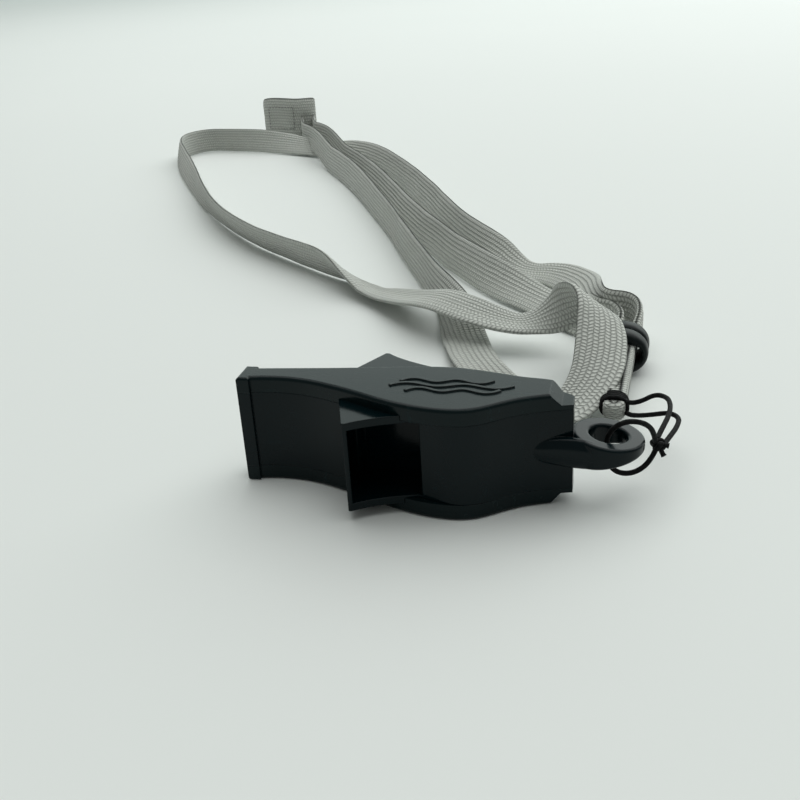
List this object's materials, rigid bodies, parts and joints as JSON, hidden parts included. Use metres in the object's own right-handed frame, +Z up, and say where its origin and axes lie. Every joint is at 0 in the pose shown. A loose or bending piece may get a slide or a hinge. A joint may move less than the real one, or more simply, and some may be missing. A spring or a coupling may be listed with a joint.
{
  "type": "training whistle",
  "caption": "Pealess two-chamber training whistle lying on its side, with side horns, a tail ring, a thin cord loop, a flat neck strap and a sliding rubber bead.",
  "frame": {"origin": "on the surface the whistle lies on, under the middle of the whistle without its lanyard", "axes": "+X from the mouthpiece to the tail ring, +Y across the whistle towards the lanyard, +Z up through the two side covers"},
  "size_m": [0.2159, 0.3586, 0.0203],
  "materials": {
    "body_plastic": "glossy moulded black",
    "cover_plastic": "satin moulded black",
    "black_cord": "braided",
    "grey_webbing": "flat woven",
    "grey_thread": "sewn thread",
    "bead_rubber": "satin"
  },
  "bodies": {
    "whistle": {"body_shell": "body_plastic", "side_cover_upper": "cover_plastic", "side_cover_lower": "cover_plastic", "eye_loop": "black_cord", "strap_cord": "black_cord", "cord_knot": "black_cord", "cord_hitch": "black_cord", "strap_long": "grey_webbing", "strap_short": "grey_webbing", "strap_seam": "grey_webbing", "seam_stitching": "grey_thread"},
    "bead": {"slider_bead": "bead_rubber"}
  },
  "joints": [
    {"name": "bead_slide", "type": "slide", "parent": "whistle", "child": "bead", "axis": [0.0529, 0.9986, 0], "range_m": [-0.009, 0]}
  ]
}
